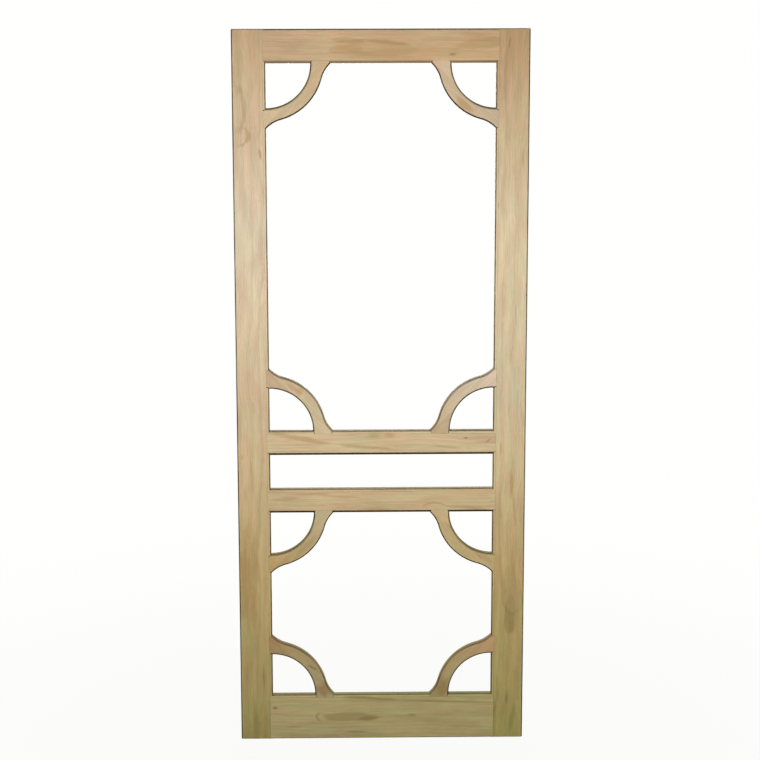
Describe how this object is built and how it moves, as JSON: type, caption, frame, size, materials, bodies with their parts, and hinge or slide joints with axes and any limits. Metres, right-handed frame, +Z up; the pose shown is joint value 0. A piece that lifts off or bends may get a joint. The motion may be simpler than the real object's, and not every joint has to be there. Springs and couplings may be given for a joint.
{
  "type": "wooden screen door",
  "caption": "Tall unfinished pine screen door leaf with open upper and lower lights, twin middle rails and curved corner brackets; hangs by its hinge edge.",
  "frame": {"origin": "bottom of the hinge edge, half way through the thickness", "axes": "+X from the hinge edge to the latch edge, +Y from the front face to the back face, +Z up"},
  "size_m": [0.8128, 0.0254, 2.032],
  "materials": {
    "stile_wood": "unfinished pine, planed and sanded, grain upright",
    "rail_wood": "unfinished pine, planed and sanded, grain level",
    "bracket_wood": "unfinished pine, sawn to a curve and sanded"
  },
  "bodies": {
    "root": {"left_stile": "stile_wood", "right_stile": "stile_wood", "top_rail": "rail_wood", "upper_mid_rail": "rail_wood", "lower_mid_rail": "rail_wood", "bottom_rail": "rail_wood", "upper_light_top_left_bracket": "bracket_wood", "upper_light_top_right_bracket": "bracket_wood", "upper_light_bottom_left_bracket": "bracket_wood", "upper_light_bottom_right_bracket": "bracket_wood", "lower_light_top_left_bracket": "bracket_wood", "lower_light_top_right_bracket": "bracket_wood", "lower_light_bottom_left_bracket": "bracket_wood", "lower_light_bottom_right_bracket": "bracket_wood"}
  },
  "joints": []
}
